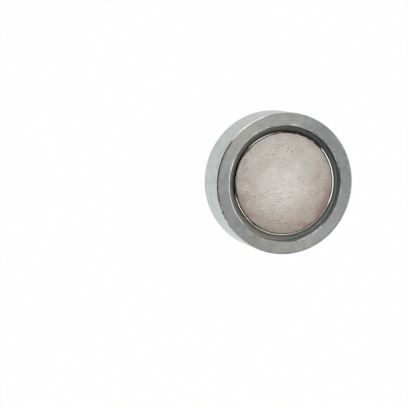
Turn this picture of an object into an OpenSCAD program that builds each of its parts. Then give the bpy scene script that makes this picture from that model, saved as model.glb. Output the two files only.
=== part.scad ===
// Flat pot magnet: a turned steel pot with a disc magnet potted in its bore.
// It lies on its closed back with the holding face up.
// The origin is the centre of the closed back, and sizes are in millimetres.

/* [Pot] */
// Outside diameter of the pot
pot_d = 25; // [16:0.5:40]
// Height from the closed back to the rim
pot_h = 8; // [6:0.5:14]
// Width of the rim, which is the thickness of the wall
rim_w = 2.3; // [1.5:0.1:3]
// Thickness of the closed back
back_t = 2.7; // [1.5:0.1:3.5]
// Chamfer round the edge of the closed back
back_chamfer = 0.3; // [0.1:0.05:0.8]
// Chamfer round the outer edge of the rim
rim_chamfer = 0.2; // [0.1:0.05:0.6]
// Chamfer at the mouth of the bore
mouth_chamfer = 0.1; // [0.05:0.05:0.6]
// Radius that the boring tool leaves where the bore meets its floor
bore_corner_r = 0.4; // [0.2:0.05:0.8]

/* [Disc] */
// Gap all round between the disc and the bore
gap_w = 1; // [0.6:0.05:2]
// Depth of the disc's face below the rim
face_drop = 0.4; // [0.1:0.05:0.8]
// Width of the bevel round the disc's two faces
edge_w = 0.5; // [0.2:0.05:0.8]
// Height of the same bevel
edge_h = 0.14; // [0.06:0.02:0.4]

/* [Resin] */
// Depth of the resin's edges below the disc's face
resin_drop = 0.6; // [0.5:0.05:2]
// Depth of the hollow that the resin's surface forms between its edges
resin_hollow = 0.12; // [0.04:0.02:0.3]

/* [Hidden] */
$fn = 180;
pot_r = pot_d / 2;
bore_r = pot_r - rim_w;
disc_r = bore_r - gap_w;
face_z = pot_h - face_drop;
resin_z = face_z - resin_drop;
// Cuts run past an open face by this much
past = 1;
// Arc through the resin's two edges and the bottom of its hollow
hollow_r = (gap_w * gap_w / 4 + resin_hollow * resin_hollow) / (2 * resin_hollow);

// Outline of the bore: a flat floor, a rounded corner, a straight wall and a chamfered mouth
module bore_section() {
    wall_z = back_t + bore_corner_r;
    translate([0, back_t])
        square([bore_r - bore_corner_r, bore_corner_r]);
    translate([bore_r - bore_corner_r, wall_z])
        circle(bore_corner_r);
    translate([0, wall_z])
        square([bore_r, pot_h - wall_z + past]);
    polygon([
        [0, pot_h - mouth_chamfer],
        [bore_r, pot_h - mouth_chamfer],
        [bore_r + mouth_chamfer + past, pot_h + past],
        [0, pot_h + past]
    ]);
}

// Outline of the disc, with both its edges bevelled
module disc_section() {
    flat_r = disc_r - edge_w;
    polygon([
        [0, back_t],
        [flat_r, back_t],
        [disc_r, back_t + edge_h],
        [disc_r, face_z - edge_h],
        [flat_r, face_z],
        [0, face_z]
    ]);
}

// The turned cup: one piece of steel with a closed back
module steel_pot() {
    color([0.64, 0.67, 0.67])
        rotate_extrude()
            difference() {
                polygon([
                    [0, 0],
                    [pot_r - back_chamfer, 0],
                    [pot_r, back_chamfer],
                    [pot_r, pot_h - rim_chamfer],
                    [pot_r - rim_chamfer, pot_h],
                    [0, pot_h]
                ]);
                bore_section();
            }
}

// The magnet, which stands on the floor of the bore and stops just short of the rim
module disc_magnet() {
    color([0.75, 0.70, 0.66])
        rotate_extrude()
            disc_section();
}

// The resin cast into the gap: it follows the bore's corner and the disc's lower edge,
// and its surface hangs hollow between the two walls that it wets
module potting_ring() {
    color([0.25, 0.28, 0.26])
        rotate_extrude()
            difference() {
                intersection() {
                    bore_section();
                    translate([disc_r - edge_w, back_t])
                        square([gap_w + edge_w, resin_z - back_t]);
                }
                disc_section();
                translate([disc_r + gap_w / 2, resin_z - resin_hollow + hollow_r])
                    circle(hollow_r);
            }
}

steel_pot();
disc_magnet();
potting_ring();
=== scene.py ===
"""A flat pot magnet on a white studio floor: turned steel pot, disc magnet and cast resin."""

import math

import bpy
from bpy.props import FloatProperty, FloatVectorProperty, IntProperty, PointerProperty
from mathutils import Matrix, Vector


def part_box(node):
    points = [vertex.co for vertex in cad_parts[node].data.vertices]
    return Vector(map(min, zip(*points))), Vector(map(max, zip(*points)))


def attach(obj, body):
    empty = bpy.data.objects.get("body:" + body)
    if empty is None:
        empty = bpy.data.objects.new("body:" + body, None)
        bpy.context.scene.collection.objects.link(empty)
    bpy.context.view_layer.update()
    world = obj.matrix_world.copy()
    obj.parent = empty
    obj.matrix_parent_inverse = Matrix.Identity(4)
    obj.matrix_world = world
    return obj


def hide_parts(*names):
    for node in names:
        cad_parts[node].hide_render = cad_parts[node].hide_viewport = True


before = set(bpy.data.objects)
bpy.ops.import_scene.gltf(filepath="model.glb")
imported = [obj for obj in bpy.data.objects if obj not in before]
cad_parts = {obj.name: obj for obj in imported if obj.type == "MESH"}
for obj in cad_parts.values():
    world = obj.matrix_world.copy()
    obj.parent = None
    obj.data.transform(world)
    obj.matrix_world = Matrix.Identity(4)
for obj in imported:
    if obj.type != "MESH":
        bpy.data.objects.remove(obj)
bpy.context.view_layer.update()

bl_info = {
    "name": "Flat pot magnet",
    "version": (1, 0, 0),
    "blender": (4, 5, 0),
    "location": "3D View > Sidebar > Magnet",
    "description": "Turns a steel pot, a disc magnet and its resin, and sets them on a studio floor",
    "category": "Object",
}

MM = 0.001
POT_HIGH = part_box("steel_pot")[1]
DISC_LOW, DISC_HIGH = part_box("disc_magnet")
RESIN_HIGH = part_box("potting_ring")[1]

POT_R = POT_HIGH.x
POT_H = POT_HIGH.z
BORE_R = RESIN_HIGH.x
FLOOR_Z = DISC_LOW.z
DISC_R = DISC_HIGH.x
FACE_Z = DISC_HIGH.z
RESIN_Z = RESIN_HIGH.z

# Points nearer than this are merged
MERGE_DISTANCE = 0.0002 * MM
# Edges sharper than this are rounded
ROUNDED_ABOVE = math.radians(30)
# Edges duller than this are shaded smooth
SMOOTH_BELOW = math.radians(32)
# Slack where edges and faces are chosen by their place
NEAR = 0.01 * MM
# A face is level where its normal's upright share is past this
LEVEL = 0.985

# Level directions of the sides where a finish differs from the rest, or where light or shade is painted
PAINTED_LIGHT_WAY = (-0.231, -0.973)
BORE_PAINTED_LIGHT_WAY = (0.485, 0.875)
YELLOWED_WAYS = ((0.983, 0.185), (-0.792, -0.611))
KNOCKED_WAY = (0.336, -0.942)
DISC_SHADE_WAY = (0.861, 0.509)
STRUCK_WAY = (0.82, -0.57)
SMUDGED_WAY = (0.30, -0.954)
DARK_SHADE_WAY = (0.064, -0.998)
GREY_SHADE_WAY = (-0.996, 0.093)
GREENER_WAY = (-0.27, 0.963)
RESIN_LIGHT_WAY = (0.911, -0.412)
RESIN_BORE_LIGHT_WAY = (0.0, 1.0)

# Colours of the small marks on each finish, and of painted shade
DIRT = (0.16, 0.16, 0.15)
BARE_STEEL = (0.05, 0.05, 0.05)
EDGE_BROWN = (0.16, 0.12, 0.10)
PIT = (0.25, 0.20, 0.16)
PALE_DUST = (0.90, 0.88, 0.83)
SMUDGE = (0.34, 0.265, 0.22)
SHADE_BLACK = (0.006, 0.006, 0.005)
SHADE_GREY = (0.030, 0.033, 0.030)
RESIN_DUST = (0.4, 0.4, 0.36)


class PotSettings(bpy.types.PropertyGroup):
    """Sizes and colours of the steel pot"""

    segments: IntProperty(
        name="Segments", description="Flats round the turned surfaces", default=288, min=64, max=512)
    back_chamfer: FloatProperty(
        name="Back chamfer", description="Chamfer round the closed back",
        default=0.3 * MM, unit="LENGTH", precision=5)
    rim_chamfer: FloatProperty(
        name="Rim chamfer", description="Chamfer round the outer edge of the rim",
        default=0.2 * MM, unit="LENGTH", precision=5)
    mouth_roll: FloatProperty(
        name="Mouth roll-off", description="Width of the strip where the rim rolls off into the bore",
        default=0.22 * MM, unit="LENGTH", precision=5)
    mouth_start: FloatProperty(
        name="Mouth start", description="Slope at the outer end of that strip",
        default=math.radians(8), subtype="ANGLE")
    mouth_angle: FloatProperty(
        name="Mouth angle", description="Slope at the inner end of that strip",
        default=math.radians(32), subtype="ANGLE")
    corner_radius: FloatProperty(
        name="Bore corner", description="Radius where the bore meets its floor",
        default=0.4 * MM, unit="LENGTH", precision=5)
    edge_break: FloatProperty(
        name="Edge break", description="Softening of each turned edge by the plating",
        default=0.03 * MM, unit="LENGTH", precision=5)
    wall_zinc: FloatVectorProperty(
        name="Zinc on the wall", description="Colour of the bright plating on the wall", subtype="COLOR",
        default=(0.44, 0.49, 0.47), min=0.0, max=1.0)
    edge_zinc: FloatVectorProperty(
        name="Zinc on the edges", description="Colour of the plating on the chamfers", subtype="COLOR",
        default=(0.78, 0.80, 0.79), min=0.0, max=1.0)
    face_zinc: FloatVectorProperty(
        name="Zinc on the faces", description="Colour of the dull plating on the faced ends", subtype="COLOR",
        default=(0.442, 0.457, 0.449), min=0.0, max=1.0)
    warm_zinc: FloatVectorProperty(
        name="Warm zinc", description="Colour where the plating on the faces has yellowed", subtype="COLOR",
        default=(0.465, 0.452, 0.412), min=0.0, max=1.0)
    bore_zinc: FloatVectorProperty(
        name="Zinc in the bore", description="Colour of the dull plating in the bore", subtype="COLOR",
        default=(0.53, 0.55, 0.52), min=0.0, max=1.0)
    back_zinc: FloatVectorProperty(
        name="Zinc on the back", description="Colour of the bright plating on the closed back",
        subtype="COLOR", default=(0.60, 0.63, 0.65), min=0.0, max=1.0)


class DiscSettings(bpy.types.PropertyGroup):
    """Sizes and colours of the disc magnet"""

    segments: IntProperty(
        name="Segments", description="Flats round the disc", default=288, min=64, max=512)
    rings: IntProperty(
        name="Rings", description="Rings across the disc's face", default=64, min=8, max=160)
    bevel_width: FloatProperty(
        name="Bevel width", description="Width of the bevel round the hidden face",
        default=0.5 * MM, unit="LENGTH", precision=5)
    bevel_height: FloatProperty(
        name="Bevel height", description="Height of the same bevel",
        default=0.14 * MM, unit="LENGTH", precision=5)
    roll_width: FloatProperty(
        name="Roll-off width", description="Width of the strip where tumbling has rolled the face off",
        default=0.40 * MM, unit="LENGTH", precision=5)
    roll_start: FloatProperty(
        name="Roll-off start", description="Slope at the inner end of that strip",
        default=math.radians(8), subtype="ANGLE")
    roll_angle: FloatProperty(
        name="Roll-off angle", description="Slope at the outer end of that strip",
        default=math.radians(26), subtype="ANGLE")
    corner_break: FloatProperty(
        name="Corner break", description="Softening of the corner between the face and the side",
        default=0.05 * MM, unit="LENGTH", precision=5)
    waviness: FloatProperty(
        name="Waviness", description="Height of the waves that tumbling leaves on the face",
        default=0.006 * MM, unit="LENGTH", precision=6)
    nickel: FloatVectorProperty(
        name="Nickel", description="Colour of the plating in the middle of the face", subtype="COLOR",
        default=(0.82, 0.785, 0.735), min=0.0, max=1.0)
    nickel_edge: FloatVectorProperty(
        name="Nickel near the edge", description="Colour of the plating near the edge", subtype="COLOR",
        default=(0.41, 0.315, 0.262), min=0.0, max=1.0)
    nickel_rolled: FloatVectorProperty(
        name="Rolled nickel", description="Colour of the polished plating on the roll-off", subtype="COLOR",
        default=(0.74, 0.73, 0.71), min=0.0, max=1.0)
    nickel_green: FloatVectorProperty(
        name="Greenish nickel", description="Colour of the greener patches of the plating", subtype="COLOR",
        default=(0.62, 0.61, 0.54), min=0.0, max=1.0)


class ResinSettings(bpy.types.PropertyGroup):
    """Sizes and colours of the cast resin"""

    hollow: FloatProperty(
        name="Hollow", description="Depth of the hollow in the resin's surface",
        default=0.12 * MM, unit="LENGTH", precision=5)
    unevenness: FloatProperty(
        name="Unevenness", description="Rise and fall of the resin round the gap",
        default=0.05 * MM, unit="LENGTH", precision=5)
    colour: FloatVectorProperty(
        name="Resin", description="Colour of the resin", subtype="COLOR",
        default=(0.37, 0.345, 0.30), min=0.0, max=1.0)
    green_colour: FloatVectorProperty(
        name="Greener resin", description="Colour of the resin where it is greener", subtype="COLOR",
        default=(0.245, 0.29, 0.26), min=0.0, max=1.0)


class StageSettings(bpy.types.PropertyGroup):
    """The camera and the light"""

    elevation: FloatProperty(
        name="Elevation", description="Angle of the camera above the floor",
        default=math.radians(70.477), subtype="ANGLE")
    lean: FloatProperty(
        name="Lean", description="Direction of the magnet's axis in the picture, below level to the right",
        default=math.radians(15.625), subtype="ANGLE")
    distance: FloatProperty(
        name="Distance", description="Distance from the camera to the middle of the magnet",
        default=0.2724, unit="LENGTH", precision=4)
    world_light: FloatProperty(
        name="World light", description="Strength of the light from above",
        default=0.03, min=0.0, max=2.0)
    horizon_light: FloatProperty(
        name="Horizon light", description="Strength of the light from the horizon",
        default=0.5, min=0.0, max=2.0)
    floor_colour: FloatVectorProperty(
        name="Floor", description="Colour of the floor", subtype="COLOR",
        default=(0.94, 0.94, 0.94), min=0.0, max=1.0)


# Turning


def arc(centre_r, centre_z, radius, start, end, steps):
    """Points on an arc in the plane of radius and height, angles in degrees."""
    points = []
    for i in range(steps + 1):
        a = math.radians(start + (end - start) * i / steps)
        points.append((centre_r + radius * math.cos(a), centre_z + radius * math.sin(a)))
    return points


def run(start, end, steps):
    """Points on a straight run, without its first one."""
    return [
        (start[0] + (end[0] - start[0]) * i / steps, start[1] + (end[1] - start[1]) * i / steps)
        for i in range(1, steps + 1)
    ]


def roll_off(width, angle, start):
    """Radius and drop of an arc whose slope goes from start to angle over the width."""
    radius = width / (math.sin(angle) - math.sin(start))
    return radius, radius * (math.cos(start) - math.cos(angle))


def turn(name, outline, segments):
    """Draws the outline from one vertex by extruding it, then spins it round the Z axis."""
    bpy.ops.object.select_all(action="DESELECT")
    bpy.ops.mesh.primitive_plane_add(size=MM, location=(0, 0, 0))
    piece = bpy.context.object
    piece.name = name
    piece.data.name = name
    bpy.ops.object.mode_set(mode="EDIT")
    bpy.ops.mesh.select_mode(type="VERT")
    bpy.ops.mesh.select_all(action="SELECT")
    bpy.ops.mesh.merge(type="CENTER")
    bpy.ops.transform.translate(value=(outline[0][0], 0, outline[0][1]))
    for (r0, z0), (r1, z1) in zip(outline, outline[1:]):
        bpy.ops.mesh.extrude_region_move(TRANSFORM_OT_translate={"value": (r1 - r0, 0, z1 - z0)})
    bpy.ops.mesh.select_all(action="SELECT")
    bpy.ops.mesh.spin(
        steps=segments, angle=2 * math.pi, center=(0, 0, 0), axis=(0, 0, 1), use_auto_merge=True)
    bpy.ops.mesh.select_all(action="SELECT")
    bpy.ops.mesh.remove_doubles(threshold=MERGE_DISTANCE)
    bpy.ops.mesh.select_all(action="SELECT")
    bpy.ops.mesh.normals_make_consistent(inside=False)
    bpy.ops.object.mode_set(mode="OBJECT")
    return piece


def soften_edges(piece, width, low_r, high_r):
    """Rounds the sharp turned edges whose radius lies between low_r and high_r."""
    bpy.ops.object.mode_set(mode="EDIT")
    bpy.ops.mesh.select_mode(type="EDGE")
    bpy.ops.mesh.select_all(action="DESELECT")
    bpy.ops.mesh.edges_select_sharp(sharpness=ROUNDED_ABOVE)
    bpy.ops.object.mode_set(mode="OBJECT")
    points = piece.data.vertices
    for edge in piece.data.edges:
        radius = points[edge.vertices[0]].co.xy.length
        if not low_r < radius < high_r:
            edge.select = False
    bpy.ops.object.mode_set(mode="EDIT")
    bpy.ops.mesh.bevel(offset=width, segments=3, profile=0.5)
    bpy.ops.object.mode_set(mode="OBJECT")


def wave(piece, name, strength, size, depth, chosen):
    """Raises and lowers the chosen vertices by a soft noise and applies it."""
    group = piece.vertex_groups.new(name=name)
    group.add([v.index for v in piece.data.vertices if chosen(v.co)], 1.0, "REPLACE")
    clouds = bpy.data.textures.new(name, "CLOUDS")
    clouds.noise_scale = size
    clouds.noise_depth = depth
    modifier = piece.modifiers.new(name, "DISPLACE")
    modifier.texture = clouds
    modifier.texture_coords = "LOCAL"
    modifier.direction = "Z"
    modifier.strength = strength
    modifier.mid_level = 0.5
    modifier.vertex_group = name
    bpy.ops.object.modifier_apply(modifier=name)
    piece.vertex_groups.remove(piece.vertex_groups[name])
    bpy.data.textures.remove(clouds)


def paint(piece, material, chosen):
    """Gives the material to the faces whose centre and normal are chosen."""
    piece.data.materials.append(material)
    piece.active_material_index = len(piece.data.materials) - 1
    bpy.ops.object.mode_set(mode="EDIT")
    bpy.ops.mesh.select_mode(type="FACE")
    bpy.ops.mesh.select_all(action="DESELECT")
    bpy.ops.object.mode_set(mode="OBJECT")
    for face in piece.data.polygons:
        face.select = chosen(face.center, face.normal)
    bpy.ops.object.mode_set(mode="EDIT")
    bpy.ops.object.material_slot_assign()
    bpy.ops.mesh.select_all(action="DESELECT")
    bpy.ops.object.mode_set(mode="OBJECT")


def hand_over(piece, node):
    """Smooths the piece and lets it stand for its CAD node."""
    bpy.ops.object.select_all(action="DESELECT")
    piece.select_set(True)
    bpy.context.view_layer.objects.active = piece
    bpy.ops.object.shade_smooth_by_angle(angle=SMOOTH_BELOW)
    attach(piece, "root")
    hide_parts(node)


# Node helpers


def add(tree, kind, place, **values):
    """Adds a node and sets its properties, or its inputs where the name is one."""
    node = tree.nodes.new(kind)
    node.location = place
    for key, value in values.items():
        if hasattr(node, key):
            setattr(node, key, value)
        else:
            node.inputs[key.replace("_", " ").title()].default_value = value
    return node


def math_node(tree, place, operation, first, second=None, third=None, clamp=False):
    """A maths node whose inputs are sockets or numbers; gives its output."""
    node = add(tree, "ShaderNodeMath", place, operation=operation, use_clamp=clamp)
    for i, value in enumerate((first, second, third)):
        if value is None:
            continue
        if isinstance(value, bpy.types.NodeSocket):
            tree.links.new(value, node.inputs[i])
        else:
            node.inputs[i].default_value = value
    return node.outputs[0]


def mix_colour(tree, place, factor, first, second, blend="MIX"):
    """A colour mix whose inputs are sockets or values; gives its output."""
    node = add(tree, "ShaderNodeMix", place, data_type="RGBA", blend_type=blend)
    for index, value in ((0, factor), (6, first), (7, second)):
        if isinstance(value, bpy.types.NodeSocket):
            tree.links.new(value, node.inputs[index])
        elif index == 0:
            node.inputs[0].default_value = value
        else:
            node.inputs[index].default_value = (*value[:3], 1.0)
    return node.outputs[2]


def ramp(tree, place, value, low, high, out_low=0.0, out_high=1.0):
    """A smooth step of a value between low and high."""
    node = add(tree, "ShaderNodeMapRange", place, interpolation_type="SMOOTHSTEP", clamp=True)
    tree.links.new(value, node.inputs[0])
    for index, number in zip((1, 2, 3, 4), (low, high, out_low, out_high)):
        node.inputs[index].default_value = number
    return node.outputs[0]


def new_group(name, inputs, outputs):
    """A shader node group with float or vector sockets; gives the tree and its two end nodes."""
    tree = bpy.data.node_groups.new(name, "ShaderNodeTree")
    for label, kind, default in inputs:
        socket = tree.interface.new_socket(name=label, in_out="INPUT", socket_type=kind)
        if default is not None:
            socket.default_value = default
    for label, kind in outputs:
        tree.interface.new_socket(name=label, in_out="OUTPUT", socket_type=kind)
    start = add(tree, "NodeGroupInput", (-900, 0))
    end = add(tree, "NodeGroupOutput", (900, 0))
    return tree, start, end


def place_group(tree, group, place, **values):
    """Places a node group and sets its named inputs."""
    node = tree.nodes.new("ShaderNodeGroup")
    node.node_tree = group
    node.location = place
    for key, value in values.items():
        socket = node.inputs[key.replace("_", " ").capitalize()]
        if isinstance(value, bpy.types.NodeSocket):
            tree.links.new(value, socket)
        else:
            socket.default_value = value
    return node


def turning_marks_group():
    """Fine lines of a turned surface: a noise of one distance only, with a slight waver."""
    if "Turning marks" in bpy.data.node_groups:
        return bpy.data.node_groups["Turning marks"]
    tree, start, end = new_group(
        "Turning marks",
        [("Position", "NodeSocketVector", None), ("Distance", "NodeSocketFloat", 0.0),
         ("Pitch", "NodeSocketFloat", 0.1 * MM), ("Waver", "NodeSocketFloat", 0.02 * MM)],
        [("Height", "NodeSocketFloat"), ("Bands", "NodeSocketFloat")])
    waver = add(tree, "ShaderNodeTexNoise", (-650, 200), scale=400.0, detail=1.0)
    tree.links.new(start.outputs["Position"], waver.inputs["Vector"])
    shift = math_node(tree, (-450, 200), "SUBTRACT", waver.outputs[0], 0.5)
    shift = math_node(tree, (-300, 200), "MULTIPLY", shift, start.outputs["Waver"])
    moved = math_node(tree, (-150, 100), "ADD", start.outputs["Distance"], shift)
    turns = math_node(tree, (0, 0), "DIVIDE", moved, start.outputs["Pitch"])
    fine = add(tree, "ShaderNodeTexNoise", (200, 100), noise_dimensions="1D", scale=1.0, detail=2.0)
    tree.links.new(turns, fine.inputs["W"])
    broad = math_node(tree, (100, -200), "DIVIDE", turns, 7.0)
    bands = add(tree, "ShaderNodeTexNoise", (300, -200), noise_dimensions="1D", scale=1.0, detail=2.0)
    tree.links.new(broad, bands.inputs["W"])
    tree.links.new(fine.outputs[0], end.inputs["Height"])
    tree.links.new(bands.outputs[0], end.inputs["Bands"])
    return tree


def specks_group(dimensions="3D"):
    """Small scattered spots, each with a size of its own; 2D suits a level face."""
    name = "Specks " + dimensions
    if name in bpy.data.node_groups:
        return bpy.data.node_groups[name]
    tree, start, end = new_group(
        name,
        [("Position", "NodeSocketVector", None), ("Spacing", "NodeSocketFloat", 1.0 * MM),
         ("Share", "NodeSocketFloat", 0.3), ("Size", "NodeSocketFloat", 0.1)],
        [("Mask", "NodeSocketFloat")])
    scaled = add(tree, "ShaderNodeVectorMath", (-650, 0), operation="DIVIDE")
    tree.links.new(start.outputs["Position"], scaled.inputs[0])
    tree.links.new(start.outputs["Spacing"], scaled.inputs[1])
    cells = add(tree, "ShaderNodeTexVoronoi", (-400, 0), voronoi_dimensions=dimensions, scale=1.0)
    tree.links.new(scaled.outputs[0], cells.inputs["Vector"])
    split = add(tree, "ShaderNodeSeparateColor", (-200, 150))
    tree.links.new(cells.outputs["Color"], split.inputs[0])
    kept = math_node(tree, (0, 200), "LESS_THAN", split.outputs[0], start.outputs["Share"])
    half = math_node(tree, (-200, -100), "MULTIPLY", start.outputs["Size"], 0.5)
    width = math_node(tree, (0, 0), "MULTIPLY_ADD", split.outputs[1], half, half)
    reach = math_node(tree, (150, 0), "DIVIDE", cells.outputs["Distance"], width)
    spot = ramp(tree, (300, 0), reach, 0.7, 1.2, 1.0, 0.0)
    mask = math_node(tree, (600, 0), "MULTIPLY", spot, kept)
    tree.links.new(mask, end.inputs["Mask"])
    return tree


def new_material(name):
    """A material with only a Principled shader and its output; gives tree and shader."""
    material = bpy.data.materials.new(name)
    material.use_nodes = True
    tree = material.node_tree
    tree.nodes.clear()
    shader = add(tree, "ShaderNodeBsdfPrincipled", (900, 0))
    output = add(tree, "ShaderNodeOutputMaterial", (1250, 0))
    tree.links.new(shader.outputs[0], output.inputs[0])
    return material, tree, shader


def coordinates(tree):
    """Object coordinates, the radius from the turning axis and the height."""
    place = add(tree, "ShaderNodeTexCoord", (-1500, 0)).outputs["Object"]
    split = add(tree, "ShaderNodeSeparateXYZ", (-1300, 100))
    tree.links.new(place, split.inputs[0])
    flat = add(tree, "ShaderNodeCombineXYZ", (-1150, 200))
    tree.links.new(split.outputs[0], flat.inputs[0])
    tree.links.new(split.outputs[1], flat.inputs[1])
    length = add(tree, "ShaderNodeVectorMath", (-1000, 200), operation="LENGTH")
    tree.links.new(flat.outputs[0], length.inputs[0])
    return place, length.outputs["Value"], split.outputs[2]


def noise(tree, place, position, size, detail=2.0, roughness=0.5):
    """Noise whose largest features are about size metres across."""
    node = add(tree, "ShaderNodeTexNoise", place, scale=1.0 / size, detail=detail)
    node.inputs["Roughness"].default_value = roughness
    tree.links.new(position, node.inputs["Vector"])
    return node.outputs[0]


def toward(tree, place, position, way, radius):
    """How far a point lies in one level direction, as a share of the radius."""
    node = add(tree, "ShaderNodeVectorMath", place, operation="DOT_PRODUCT")
    tree.links.new(position, node.inputs[0])
    node.inputs[1].default_value = (way[0] / radius, way[1] / radius, 0.0)
    return node.outputs["Value"]


def bump(tree, place, height, distance, normal=None):
    """A bump of a height that is distance metres deep; gives the normal."""
    node = add(tree, "ShaderNodeBump", place, strength=1.0, distance=distance)
    tree.links.new(height, node.inputs["Height"])
    if normal is not None:
        tree.links.new(normal, node.inputs["Normal"])
    return node.outputs[0]


# Materials


def zinc_material(
        name, cool, warm, along, pitch, depth, roughness, anisotropy,
        metallic=1.0, banding=0.04, painted_light_way=PAINTED_LIGHT_WAY, brighter=0.07, worn=0.0):
    """Zinc plating over a turned surface. along is radius or height: the way that the tool went."""
    material, tree, shader = new_material(name)
    position, radius, height = coordinates(tree)
    distance = radius if along == "radius" else height
    marks = place_group(
        tree, turning_marks_group(), (-700, -200), position=position, distance=distance, pitch=pitch)
    # The plating has yellowed on two sides
    sides = []
    for i, way in enumerate(YELLOWED_WAYS):
        side = toward(tree, (-1100, 1000 + 200 * i), position, way, POT_R)
        sides.append(ramp(tree, (-900, 1000 + 200 * i), side, 0.62, 0.9))
    yellowed = math_node(tree, (-700, 1100), "MAXIMUM", *sides)
    clouds = noise(tree, (-800, 400), position, 4 * MM, 3.0)
    clouds = ramp(tree, (-500, 300), clouds, 0.38, 0.62, 0.6, 1.0)
    yellowed = math_node(tree, (-350, 400), "MULTIPLY", yellowed, clouds)
    colour = mix_colour(tree, (-250, 300), yellowed, cool, warm)
    bands = ramp(tree, (-400, 0), marks.outputs["Bands"], 0.3, 0.7, 1.0 - banding, 1.0 + banding)
    colour = mix_colour(tree, (0, 300), 1.0, colour, bands, "MULTIPLY")
    mottle = noise(tree, (-500, 150), position, 1.6 * MM, 4.0, 0.75)
    mottle = ramp(tree, (-250, 150), mottle, 0.3, 0.7, 0.84, 1.105)
    colour = mix_colour(tree, (120, 300), 1.0, colour, mottle, "MULTIPLY")
    # It is brighter on one side: a painted light
    side = toward(tree, (-800, 800), position, painted_light_way, POT_R)
    bright = math_node(tree, (-600, 800), "MULTIPLY_ADD", side, brighter, 1.0)
    colour = mix_colour(tree, (180, 500), 1.0, colour, bright, "MULTIPLY")
    dirt = place_group(
        tree, specks_group(), (-400, 600), position=position, spacing=1.3 * MM, share=0.25, size=0.09)
    dark = math_node(tree, (0, 600), "MULTIPLY", dirt.outputs["Mask"], 0.45)
    colour = mix_colour(tree, (250, 300), dark, colour, DIRT)
    if worn:
        # Knocks have worn dark dots through the plating on one side
        knocked = toward(tree, (-1100, 1400), position, KNOCKED_WAY, POT_R)
        knocked = ramp(tree, (-900, 1400), knocked, 0.74, 0.94)
        dots = place_group(
            tree, specks_group(), (-900, 1600), position=position, spacing=0.42 * MM, share=0.62, size=0.62)
        knocked = math_node(tree, (-700, 1500), "MULTIPLY", knocked, dots.outputs["Mask"])
        knocked = math_node(tree, (-550, 1500), "MULTIPLY", knocked, worn)
        colour = mix_colour(tree, (400, 500), knocked, colour, BARE_STEEL)
    tree.links.new(colour, shader.inputs["Base Color"])
    rough = ramp(tree, (250, 0), marks.outputs["Bands"], 0.25, 0.75, roughness - 0.03, roughness + 0.04)
    tree.links.new(rough, shader.inputs["Roughness"])
    shader.inputs["Metallic"].default_value = metallic
    shader.inputs["Anisotropic"].default_value = anisotropy
    shader.inputs["Anisotropic Rotation"].default_value = 0.25
    tangent = add(tree, "ShaderNodeTangent", (600, -300), direction_type="RADIAL", axis="Z")
    tree.links.new(tangent.outputs[0], shader.inputs["Tangent"])
    grain = noise(tree, (-200, -500), position, 0.2 * MM, 2.0)
    normal = bump(tree, (200, -300), marks.outputs["Height"], depth)
    normal = bump(tree, (450, -300), grain, 0.002 * MM, normal)
    tree.links.new(normal, shader.inputs["Normal"])
    return material


def painted_dint_shading(tree, position, radius):
    """Painted shade and highlight of the disc's dints: each has a painted bright side next to its painted
    dark one. 1 where there is none.
    """
    # They lie in patches, more of them on one side and few near the edge
    side = toward(tree, (-1100, 1200), position, STRUCK_WAY, DISC_R)
    struck = noise(tree, (-800, 1200), position, 3.0 * MM, 2.0)
    struck = math_node(tree, (-600, 1200), "MULTIPLY_ADD", side, 0.14, struck)
    struck = ramp(tree, (-400, 1000), struck, 0.42, 0.56, 0.1, 1.0)
    inner = ramp(tree, (-400, 1200), radius, 0.7 * DISC_R, 0.95 * DISC_R, 1.0, 0.3)
    struck = math_node(tree, (-200, 1100), "MULTIPLY", struck, inner)
    # They are longer one way and uneven
    wander = add(tree, "ShaderNodeTexNoise", (-1600, 1400), scale=1.0 / (0.4 * MM), detail=1.0)
    tree.links.new(position, wander.inputs["Vector"])
    uneven = add(tree, "ShaderNodeVectorMath", (-1400, 1400), operation="MULTIPLY_ADD")
    tree.links.new(wander.outputs["Color"], uneven.inputs[0])
    uneven.inputs[1].default_value = (0.6 * MM, 0.6 * MM, 0.6 * MM)
    tree.links.new(position, uneven.inputs[2])
    long_y = add(tree, "ShaderNodeVectorMath", (-1200, 1400), operation="MULTIPLY")
    tree.links.new(uneven.outputs[0], long_y.inputs[0])
    long_y.inputs[1].default_value = (1.0, 0.55, 1.0)
    # Each dint's painted highlight comes from the same dints, moved a little to one side
    beside = add(tree, "ShaderNodeVectorMath", (-1000, 1600), operation="ADD")
    tree.links.new(long_y.outputs[0], beside.inputs[0])
    beside.inputs[1].default_value = (0.13 * MM, 0.04 * MM, 0.0)
    dints = {"spacing": 0.38 * MM, "share": 0.65, "size": 0.34}
    dint = place_group(tree, specks_group("2D"), (-800, 1400), position=long_y.outputs[0], **dints)
    painted_highlight = place_group(tree, specks_group("2D"), (-800, 1600), position=beside.outputs[0], **dints)
    # The dints are painted darker and their moved copies lighter
    level = math_node(tree, (-500, 1600), "MULTIPLY", painted_highlight.outputs["Mask"], 0.34)
    level = math_node(tree, (-400, 1500), "MULTIPLY_ADD", dint.outputs["Mask"], -0.42, level)
    return math_node(tree, (-100, 1400), "MULTIPLY_ADD", level, struck, 1.0)


def shade_run(tree, y, position, radius, way, low, high, width):
    """A strip of painted shade along the disc's edge and over its corner, round one direction."""
    along = ramp(tree, (100, y), toward(tree, (-100, y), position, way, DISC_R), low, high)
    # Its inner edge wavers
    waver = noise(tree, (-300, y - 200), position, 0.9 * MM, 2.0)
    reach = math_node(tree, (-100, y - 200), "MULTIPLY_ADD", waver, 0.5 * MM, radius)
    inner_r = DISC_R - width + 0.25 * MM
    outer = ramp(tree, (100, y - 200), reach, inner_r - 0.03 * MM, inner_r + 0.03 * MM)
    return math_node(tree, (250, y - 100), "MULTIPLY", along, outer)


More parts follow.
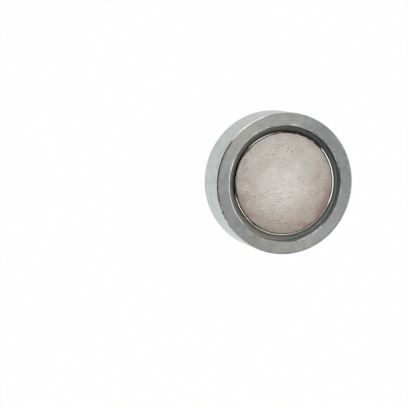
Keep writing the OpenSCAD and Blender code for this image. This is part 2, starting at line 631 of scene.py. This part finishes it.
def nickel_material(settings):
    """Warm satin nickel over a sintered disc: grained, pitted and dinted, and brighter on its edge, with
    painted shade on one side, on its side wall and in its dints, and painted highlights beside the dints.
    """
    material, tree, shader = new_material("satin nickel")
    position, radius, height = coordinates(tree)
    flat_r = DISC_R - settings.roll_width
    drop = roll_off(settings.roll_width, settings.roll_angle, settings.roll_start)[1]
    ring = ramp(tree, (-900, 600), radius, 0.05 * DISC_R, 1.05 * DISC_R)
    # One side is darker: a painted shade
    side = toward(tree, (-1100, 800), position, DISC_SHADE_WAY, DISC_R)
    dull = math_node(tree, (-900, 800), "MULTIPLY_ADD", side, 0.36, 0.74)
    ring = math_node(tree, (-700, 700), "MULTIPLY", ring, dull)
    # Near the edge the face darkens towards brown, most on the side of the painted shade
    rim_shade = ramp(tree, (-900, 1000), radius, 0.80 * DISC_R, 0.95 * DISC_R)
    rim_shade = math_node(tree, (-700, 1000), "MULTIPLY", rim_shade, dull)
    patches = noise(tree, (-800, 400), position, 4.0 * MM, 3.0, 0.6)
    spread = math_node(tree, (-600, 400), "MULTIPLY_ADD", patches, 0.7, -0.35)
    mixed = math_node(tree, (-450, 500), "ADD", ring, spread, clamp=True)
    colour = mix_colour(tree, (-250, 400), mixed, settings.nickel, settings.nickel_edge)
    rim_shade = math_node(tree, (-300, 700), "MULTIPLY", rim_shade, 0.33)
    colour = mix_colour(tree, (-150, 600), rim_shade, colour, EDGE_BROWN)
    tint = ramp(tree, (-500, 100), noise(tree, (-800, 100), position, 2.2 * MM, 2.0), 0.42, 0.62)
    tint = math_node(tree, (-350, 100), "MULTIPLY", tint, 0.3)
    colour = mix_colour(tree, (0, 400), tint, colour, settings.nickel_green)
    grain = noise(tree, (-800, -100), position, 0.34 * MM, 3.0, 0.7)
    shade = ramp(tree, (-300, -50), grain, 0.34, 0.66, 0.90, 1.05)
    colour = mix_colour(tree, (200, 400), 1.0, colour, shade, "MULTIPLY")
    colour = mix_colour(tree, (360, 800), 1.0, colour, painted_dint_shading(tree, position, radius), "MULTIPLY")
    pits = place_group(
        tree, specks_group("2D"), (-800, -350), position=position, spacing=0.95 * MM, share=0.07, size=0.13)
    dust = place_group(
        tree, specks_group("2D"), (-800, -600), position=position, spacing=0.55 * MM, share=0.12, size=0.13)
    dark = math_node(tree, (0, -300), "MULTIPLY", pits.outputs["Mask"], 0.7)
    colour = mix_colour(tree, (400, 400), dark, colour, PIT)
    pale = math_node(tree, (0, -500), "MULTIPLY", dust.outputs["Mask"], 0.2)
    colour = mix_colour(tree, (600, 400), pale, colour, PALE_DUST)
    # Fingers have left darker smudges near the edge on one side
    side = toward(tree, (-200, 1700), position, SMUDGED_WAY, DISC_R)
    handled = ramp(tree, (0, 1700), side, 0.55, 0.8)
    smudges = noise(tree, (-200, 1900), position, 0.8 * MM, 3.0, 0.6)
    smudges = ramp(tree, (0, 1900), smudges, 0.45, 0.62, 0.0, 0.45)
    smudges = math_node(tree, (200, 1800), "MULTIPLY", smudges, handled)
    colour = mix_colour(tree, (650, 600), smudges, colour, SMUDGE)
    rolled = ramp(tree, (600, 800), radius, flat_r, flat_r + 0.2 * MM, 0.0, 0.8)
    colour = mix_colour(tree, (700, 500), rolled, colour, settings.nickel_rolled)
    # The disc's side is painted near-black as far as the corner: a painted shade
    foot = FACE_Z - drop - settings.corner_break
    painted_shade = ramp(tree, (300, 700), height, foot - 0.03 * MM, foot + 0.05 * MM, 1.0, 0.0)
    # In two places the painted shade reaches over the corner: darkest in the first, lighter and greyer in the
    # second
    dark_painted_strip = shade_run(tree, 1300, position, radius, DARK_SHADE_WAY, 0.905, 0.925, 0.15 * MM)
    painted_strip = shade_run(tree, 2300, position, radius, GREY_SHADE_WAY, 0.87, 0.90, 0.30 * MM)
    painted_shade = math_node(tree, (450, 900), "MAXIMUM", painted_shade, dark_painted_strip)
    painted_shade = math_node(tree, (600, 1000), "MAXIMUM", painted_shade, painted_strip)
    painted_shade_colour = mix_colour(tree, (550, 1200), painted_strip, SHADE_BLACK, SHADE_GREY)
    colour = mix_colour(tree, (750, 400), painted_shade, colour, painted_shade_colour)
    tree.links.new(colour, shader.inputs["Base Color"])
    # Only the painted shade isn't metal, and it has no gloss of its own
    tree.links.new(math_node(tree, (650, 100), "SUBTRACT", 1.0, painted_shade), shader.inputs["Metallic"])
    shader.inputs["Specular IOR Level"].default_value = 0.0
    rough = ramp(tree, (100, 0), grain, 0.3, 0.7, 0.36, 0.46)
    polish = ramp(tree, (100, -150), radius, flat_r - 0.1 * MM, flat_r + 0.1 * MM, 1.0, 0.36)
    tree.links.new(math_node(tree, (350, 0), "MULTIPLY", rough, polish), shader.inputs["Roughness"])
    flat = ramp(tree, (100, -700), radius, flat_r - 0.2 * MM, flat_r + 0.1 * MM, 1.0, 0.12)
    relief = math_node(tree, (250, -600), "MULTIPLY", grain, flat)
    normal = bump(tree, (450, -300), relief, 0.014 * MM)
    normal = bump(tree, (650, -300), pits.outputs["Mask"], -0.015 * MM, normal)
    tree.links.new(normal, shader.inputs["Normal"])
    return material


def resin_material(settings):
    """Dark half-gloss resin with fine rings and some dust, greener on one side, with painted shade next to
    the disc and painted light on one side and by the bore.
    """
    material, tree, shader = new_material("potting resin")
    position, radius, _ = coordinates(tree)
    marks = place_group(
        tree, turning_marks_group(), (-700, -200), position=position, distance=radius,
        pitch=0.16 * MM, waver=0.05 * MM)
    side = toward(tree, (-900, 400), position, GREENER_WAY, BORE_R)
    tone = noise(tree, (-900, 200), position, 3.0 * MM, 2.0)
    tone = math_node(tree, (-550, 300), "MULTIPLY_ADD", tone, 0.8, side)
    tone = ramp(tree, (-400, 300), tone, 0.0, 1.2)
    colour = mix_colour(tree, (-150, 300), tone, settings.colour, settings.green_colour)
    bands = ramp(tree, (-400, 0), marks.outputs["Height"], 0.35, 0.65, 0.55, 1.3)
    colour = mix_colour(tree, (100, 300), 1.0, colour, bands, "MULTIPLY")
    # Darker next to the disc: a painted shade
    painted_shade_by_disc = ramp(tree, (-100, 100), radius, DISC_R + 0.15 * MM, DISC_R + 0.5 * MM, 0.55, 1.0)
    colour = mix_colour(tree, (200, 300), 1.0, colour, painted_shade_by_disc, "MULTIPLY")
    # One side is lighter and the other darker: painted light and shade
    side = toward(tree, (-400, 800), position, RESIN_LIGHT_WAY, BORE_R)
    painted_side_light = ramp(tree, (-200, 800), side, -0.6, 1.0, 0.65, 1.6)
    colour = mix_colour(tree, (250, 400), 1.0, colour, painted_side_light, "MULTIPLY")
    # It is paler next to the bore on one side: a painted light
    side = toward(tree, (-400, 1000), position, RESIN_BORE_LIGHT_WAY, BORE_R)
    lit_side = ramp(tree, (-200, 1000), side, 0.55, 0.95, 0.0, 1.5)
    painted_strip = ramp(tree, (-200, 1200), radius, BORE_R - 0.6 * MM, BORE_R - 0.3 * MM)
    painted_strip = math_node(tree, (0, 1100), "MULTIPLY_ADD", painted_strip, lit_side, 1.0)
    colour = mix_colour(tree, (300, 500), 1.0, colour, painted_strip, "MULTIPLY")
    dust = place_group(
        tree, specks_group(), (-700, 600), position=position, spacing=0.5 * MM, share=0.2, size=0.1)
    pale = math_node(tree, (100, 600), "MULTIPLY", dust.outputs["Mask"], 0.3)
    colour = mix_colour(tree, (350, 300), pale, colour, RESIN_DUST)
    tree.links.new(colour, shader.inputs["Base Color"])
    rough = ramp(tree, (300, 0), marks.outputs["Bands"], 0.3, 0.7, 0.22, 0.38)
    tree.links.new(rough, shader.inputs["Roughness"])
    normal = bump(tree, (200, -300), marks.outputs["Height"], 0.008 * MM)
    tree.links.new(normal, shader.inputs["Normal"])
    return material


# Pieces


class MAGNET_OT_steel_pot(bpy.types.Operator):
    """Turn the steel pot with its bore and chamfers"""

    bl_idname = "magnet.steel_pot"
    bl_label = "Steel pot"

    def execute(self, context):
        s = context.scene.magnet_pot
        back, rim, corner = s.back_chamfer, s.rim_chamfer, s.corner_radius
        roll_r, drop = roll_off(s.mouth_roll, s.mouth_angle, s.mouth_start)
        wall_low = (POT_R, back)
        wall_high = (POT_R, POT_H - rim)
        rim_out = (POT_R - rim, POT_H)
        rim_in = (BORE_R + s.mouth_roll, POT_H)
        bore_high = (BORE_R, POT_H - drop)
        outline = [(0.0, 0.0)]
        outline += run((0.0, 0.0), (POT_R - back, 0.0), 24)
        outline += [wall_low] + run(wall_low, wall_high, 12)
        outline += [rim_out] + run(rim_out, (rim_in[0] + 0.02 * MM, POT_H), 10) + [rim_in]
        centre_r = rim_in[0] + roll_r * math.sin(s.mouth_start)
        centre_z = POT_H - roll_r * math.cos(s.mouth_start)
        slopes = (90 + math.degrees(angle) for angle in (s.mouth_start, s.mouth_angle))
        outline += arc(centre_r, centre_z, roll_r, *slopes, 6)[1:]
        outline += run(bore_high, (BORE_R, FLOOR_Z + corner), 8)
        outline += arc(BORE_R - corner, FLOOR_Z + corner, corner, 0, -90, 6)[1:]
        outline += run((BORE_R - corner, FLOOR_Z), (0.0, FLOOR_Z), 3)
        pot = turn("steel_pot_turned", outline, s.segments)
        soften_edges(pot, s.edge_break, POT_R - 2 * back, POT_R + back)
        soften_edges(pot, s.edge_break, BORE_R - NEAR, BORE_R + NEAR)
        wave(pot, "rim ripple", 0.004 * MM, 2.5 * MM, 1, lambda co: co.z > POT_H - 0.002 * MM)
        face = zinc_material(
            "zinc, faced", s.face_zinc, s.warm_zinc, "radius", 0.09 * MM, 0.0022 * MM, 0.40, 0.9)
        back_face = zinc_material(
            "zinc, back", s.back_zinc, s.edge_zinc, "radius", 0.13 * MM, 0.0030 * MM, 0.28, 0.95,
            banding=0.12)
        wall = zinc_material(
            "zinc, wall", s.wall_zinc, s.wall_zinc, "height", 0.07 * MM, 0.0010 * MM, 0.24, 0.3)
        # The bore has a strong painted light on one side
        bore = zinc_material(
            "zinc, bore", s.bore_zinc, s.bore_zinc, "height", 0.12 * MM, 0.0030 * MM, 0.55, 0.3,
            metallic=0.3, painted_light_way=BORE_PAINTED_LIGHT_WAY, brighter=0.35)
        edge = zinc_material(
            "zinc, edges", s.edge_zinc, s.edge_zinc, "height", 0.05 * MM, 0.0006 * MM, 0.16, 0.0,
            worn=0.8)
        middle = POT_H / 2
        paint(pot, wall, lambda centre, normal: True)
        paint(pot, bore, lambda centre, normal: FLOOR_Z - NEAR < centre.z and centre.xy.length < BORE_R)
        paint(pot, edge, lambda centre, normal: 0.1 < abs(normal.z) < LEVEL and centre.z > middle)
        paint(pot, face, lambda centre, normal: normal.z > LEVEL and centre.z > middle)
        paint(pot, back_face, lambda centre, normal: normal.z < -LEVEL)
        hand_over(pot, "steel_pot")
        return {"FINISHED"}


class MAGNET_OT_disc(bpy.types.Operator):
    """Turn the disc magnet with its rolled-off edge and give its face soft waves"""

    bl_idname = "magnet.disc"
    bl_label = "Disc magnet"

    def execute(self, context):
        s = context.scene.magnet_disc
        flat_r = DISC_R - s.roll_width
        roll_r, drop = roll_off(s.roll_width, s.roll_angle, s.roll_start)
        low, high = FLOOR_Z + s.bevel_height, FACE_Z - drop
        outline = [(0.0, FLOOR_Z)]
        outline += run((0.0, FLOOR_Z), (DISC_R - s.bevel_width, FLOOR_Z), 3)
        outline += [(DISC_R, low)] + run((DISC_R, low), (DISC_R, high), 4)
        centre_r = DISC_R - roll_r * math.sin(s.roll_angle)
        centre_z = high - roll_r * math.cos(s.roll_angle)
        slopes = (90 - math.degrees(angle) for angle in (s.roll_angle, s.roll_start))
        outline += arc(centre_r, centre_z, roll_r, *slopes, 10)[1:]
        outline += run((flat_r, FACE_Z), (0.0, FACE_Z), s.rings)
        disc = turn("disc_magnet_plated", outline, s.segments)
        soften_edges(disc, s.corner_break, DISC_R - NEAR, DISC_R + NEAR)
        inner = flat_r - 0.1 * MM
        wave(disc, "tumbling", s.waviness, 1.6 * MM, 1,
             lambda co: co.z > FACE_Z - 0.001 * MM and co.xy.length < inner)
        disc.data.materials.append(nickel_material(s))
        hand_over(disc, "disc_magnet")
        return {"FINISHED"}


class MAGNET_OT_resin(bpy.types.Operator):
    """Spin the resin ring, hollow between the two walls that it wets"""

    bl_idname = "magnet.resin"
    bl_label = "Resin"

    def execute(self, context):
        pot = context.scene.magnet_pot
        disc = context.scene.magnet_disc
        s = context.scene.magnet_resin
        corner = pot.corner_radius
        low = FLOOR_Z + disc.bevel_height
        half = (BORE_R - DISC_R) / 2
        radius = (half * half + s.hollow * s.hollow) / (2 * s.hollow)
        swing = math.degrees(math.asin(half / radius))
        start = (DISC_R - disc.bevel_width, FLOOR_Z)
        outline = [start, (BORE_R - corner, FLOOR_Z)]
        outline += arc(BORE_R - corner, FLOOR_Z + corner, corner, -90, 0, 6)[1:]
        outline += run((BORE_R, FLOOR_Z + corner), (BORE_R, RESIN_Z), 2)
        middle = (DISC_R + half, RESIN_Z - s.hollow + radius)
        outline += arc(*middle, radius, -90 + swing, -90 - swing, 24)[1:]
        outline += run((DISC_R, RESIN_Z), (DISC_R, low), 2) + [start]
        ring = turn("potting_ring_cast", outline, pot.segments)
        wave(ring, "casting", s.unevenness, 2.2 * MM, 2, lambda co: co.z > RESIN_Z - 1.5 * s.hollow)
        ring.data.materials.append(resin_material(s))
        hand_over(ring, "potting_ring")
        return {"FINISHED"}


# Stage

# The picture's width, the lens's focal length and the place of the magnet's middle, all in pixels
PICTURE = 408.0
FOCAL_PIXELS = 1532.3
SEEN_X, SEEN_Y = 278.0, 181.6

# The top light, and the direction in which its long side lies
TOP_LIGHT = (0, 73, 0.6, 0.18, 0.36, 2.04)
TOP_LIGHT_UPRIGHT = (-0.69, -0.72, 0)

# Each lamp: its azimuth and elevation in degrees, its distance, width and height in metres, and
# its radiance, as in the top light
LAMPS = {
    "side top light": (112, 58, 0.6, 0.24, 0.08, 1.6),
    "back top light": (136, 53, 0.6, 0.26, 0.05, 1.6),
    "upper left light": (127, 15, 0.5, 0.40, 0.12, 1.0),
    "top right light": (56, 54, 0.6, 0.26, 0.14, 0.7),
    "upper right light": (72, 29, 0.5, 0.34, 0.08, 1.4),
    "zenith light": (172, 80, 0.6, 0.20, 0.24, 0.45),
    "lower left light": (-75, 44, 0.5, 0.52, 0.09, 1.2),
    "left light": (-110, 58, 0.6, 0.26, 0.05, 2.4),
    "lower right light": (-20, 36, 0.5, 0.28, 0.09, 0.8),
    "right light": (18, 30, 0.5, 0.36, 0.14, 1.85),
}


def aim(thing, target, roll_up):
    """Turns a lamp or camera so that its -Z points at the target and its Y along roll_up."""
    back = (thing.location - target).normalized()
    side = roll_up.cross(back).normalized()
    up = back.cross(side)
    turned = Matrix((side, up, back)).transposed()
    thing.rotation_mode = "QUATERNION"
    thing.rotation_quaternion = turned.to_quaternion()


def softbox(name, azimuth, elevation, distance, width, height, radiance, upright=(0, 0, 1)):
    """A soft lamp round the magnet. Azimuth 0 is away from the camera and grows to the left."""
    a, e = math.radians(azimuth), math.radians(elevation)
    middle = Vector((0, 0, POT_H / 2))
    # The camera stands on the -Y side, so away from it is +Y
    way = Vector((-math.sin(a) * math.cos(e), math.cos(a) * math.cos(e), math.sin(e)))
    bpy.ops.object.select_all(action="DESELECT")
    bpy.ops.object.light_add(type="AREA", location=middle + way * distance)
    lamp = bpy.context.object
    lamp.name = name
    lamp.data.shape = "RECTANGLE"
    lamp.data.size = width
    lamp.data.size_y = height
    lamp.data.energy = radiance * math.pi * width * height
    lamp.visible_camera = False
    aim(lamp, middle, Vector(upright))


def white_world(strength, horizon):
    """Dim light from all round, strongest at the horizon, that looks white behind the magnet."""
    world = bpy.data.worlds.new("studio")
    bpy.context.scene.world = world
    world.use_nodes = True
    tree = world.node_tree
    tree.nodes.clear()
    path = add(tree, "ShaderNodeLightPath", (-600, 200))
    way = add(tree, "ShaderNodeTexCoord", (-900, 0)).outputs["Generated"]
    split = add(tree, "ShaderNodeSeparateXYZ", (-700, 0))
    tree.links.new(way, split.inputs[0])
    level = ramp(tree, (-500, 0), split.outputs[2], 0.2, 0.5, horizon, strength)
    # The side where the camera stands is dimmer
    side = ramp(tree, (-500, -200), split.outputs[1], -0.85, -0.55, 0.3, 1.0)
    plain = add(tree, "ShaderNodeBackground", (-200, 0))
    tree.links.new(math_node(tree, (-350, 0), "MULTIPLY", level, side), plain.inputs["Strength"])
    white = add(tree, "ShaderNodeBackground", (-200, -200), strength=1.0)
    for background in (plain, white):
        background.inputs[0].default_value = (1, 1, 1, 1)
    mixed = add(tree, "ShaderNodeMixShader", (0, 0))
    output = add(tree, "ShaderNodeOutputWorld", (200, 0))
    tree.links.new(path.outputs["Is Camera Ray"], mixed.inputs[0])
    tree.links.new(plain.outputs[0], mixed.inputs[1])
    tree.links.new(white.outputs[0], mixed.inputs[2])
    tree.links.new(mixed.outputs[0], output.inputs[0])


def floor_material(colour):
    """A pale floor that shows white to the camera and in the metal, with a trace of the shadow."""
    material = bpy.data.materials.new("studio floor")
    material.use_nodes = True
    tree = material.node_tree
    tree.nodes.clear()
    path = add(tree, "ShaderNodeLightPath", (-600, 200))
    matt = add(tree, "ShaderNodeBsdfDiffuse", (-200, 0))
    matt.inputs[0].default_value = (*colour, 1)
    white = add(tree, "ShaderNodeEmission", (-200, -200), strength=1.0)
    # In the metal it is in shade behind the magnet, and a little dimmer on the left
    place = add(tree, "ShaderNodeTexCoord", (-1000, -200)).outputs["Object"]
    split = add(tree, "ShaderNodeSeparateXYZ", (-800, -200))
    tree.links.new(place, split.inputs[0])
    shade = ramp(tree, (-600, -200), split.outputs[1], 0.0, 0.03, 1.0, 0.3)
    left = ramp(tree, (-600, -400), split.outputs[0], -0.012, 0.008, 0.88, 0.98)
    shade = math_node(tree, (-500, -300), "MULTIPLY", shade, left)
    level = math_node(tree, (-400, -200), "MAXIMUM", path.outputs["Is Camera Ray"], shade)
    tree.links.new(level, white.inputs["Strength"])
    camera_share = math_node(tree, (-400, 300), "MULTIPLY", path.outputs["Is Camera Ray"], 0.99)
    share = math_node(tree, (-200, 200), "MAXIMUM", camera_share, path.outputs["Is Glossy Ray"])
    mixed = add(tree, "ShaderNodeMixShader", (0, 0))
    output = add(tree, "ShaderNodeOutputMaterial", (200, 0))
    tree.links.new(share, mixed.inputs[0])
    tree.links.new(matt.outputs[0], mixed.inputs[1])
    tree.links.new(white.outputs[0], mixed.inputs[2])
    tree.links.new(mixed.outputs[0], output.inputs[0])
    return material


class MAGNET_OT_stage(bpy.types.Operator):
    """Set the floor, the light and the camera"""

    bl_idname = "magnet.stage"
    bl_label = "Floor, light and camera"

    def execute(self, context):
        s = context.scene.magnet_stage
        bpy.ops.object.select_all(action="DESELECT")
        bpy.ops.mesh.primitive_circle_add(vertices=96, radius=3.0, fill_type="NGON", location=(0, 0, 0))
        floor = context.object
        floor.name = "floor"
        floor.data.materials.append(floor_material(s.floor_colour))
        white_world(s.world_light, s.horizon_light)
        softbox("top light", *TOP_LIGHT, upright=TOP_LIGHT_UPRIGHT)
        for name, lamp in LAMPS.items():
            softbox(name, *lamp)
        self.camera(context, s)
        return {"FINISHED"}

    def camera(self, context, s):
        """A long lens at the photograph's angle, with the magnet where the photograph has it."""
        back = Vector((0, -math.cos(s.elevation), math.sin(s.elevation)))
        middle = Vector((0, 0, POT_H / 2))
        axis_seen = (Vector((0, 0, 1)) - back * back.z).normalized()
        across = back.cross(axis_seen)
        # In the picture the magnet's axis points right and down by the lean
        up = across * math.cos(s.lean) - axis_seen * math.sin(s.lean)
        right = up.cross(back)
        bpy.ops.object.camera_add(location=middle + back * s.distance)
        camera = context.object
        camera.name = "camera"
        camera.data.sensor_width = 36.0
        camera.data.lens = camera.data.sensor_width * FOCAL_PIXELS / PICTURE
        camera.data.clip_start = 0.01
        camera.data.clip_end = 10.0
        # The camera looks past the magnet, so that it lies off the middle of the picture
        off_right = (SEEN_X - PICTURE / 2) / FOCAL_PIXELS
        off_down = (SEEN_Y - PICTURE / 2) / FOCAL_PIXELS
        aim_point = middle - right * off_right * s.distance + up * off_down * s.distance
        aim(camera, aim_point, up)
        context.scene.camera = camera


class MAGNET_PT_panel(bpy.types.Panel):
    """Lists the pieces and the stage"""

    bl_label = "Flat pot magnet"
    bl_idname = "MAGNET_PT_panel"
    bl_space_type = "VIEW_3D"
    bl_region_type = "UI"
    bl_category = "Magnet"

    def draw(self, context):
        column = self.layout.column()
        for operator in OPERATORS:
            column.operator(operator.bl_idname)


SETTINGS = {
    "magnet_pot": PotSettings,
    "magnet_disc": DiscSettings,
    "magnet_resin": ResinSettings,
    "magnet_stage": StageSettings,
}
OPERATORS = (MAGNET_OT_stage, MAGNET_OT_steel_pot, MAGNET_OT_disc, MAGNET_OT_resin)


def register():
    for settings in SETTINGS.values():
        bpy.utils.register_class(settings)
    for name, settings in SETTINGS.items():
        setattr(bpy.types.Scene, name, PointerProperty(type=settings))
    for operator in OPERATORS:
        bpy.utils.register_class(operator)
    bpy.utils.register_class(MAGNET_PT_panel)


def unregister():
    bpy.utils.unregister_class(MAGNET_PT_panel)
    for operator in reversed(OPERATORS):
        bpy.utils.unregister_class(operator)
    for name in SETTINGS:
        delattr(bpy.types.Scene, name)
    for settings in reversed(SETTINGS.values()):
        bpy.utils.unregister_class(settings)


def main():
    register()
    bpy.context.scene.view_settings.view_transform = "Standard"
    bpy.ops.magnet.stage()
    bpy.ops.magnet.steel_pot()
    bpy.ops.magnet.disc()
    bpy.ops.magnet.resin()


if __name__ == "__main__":
    main()
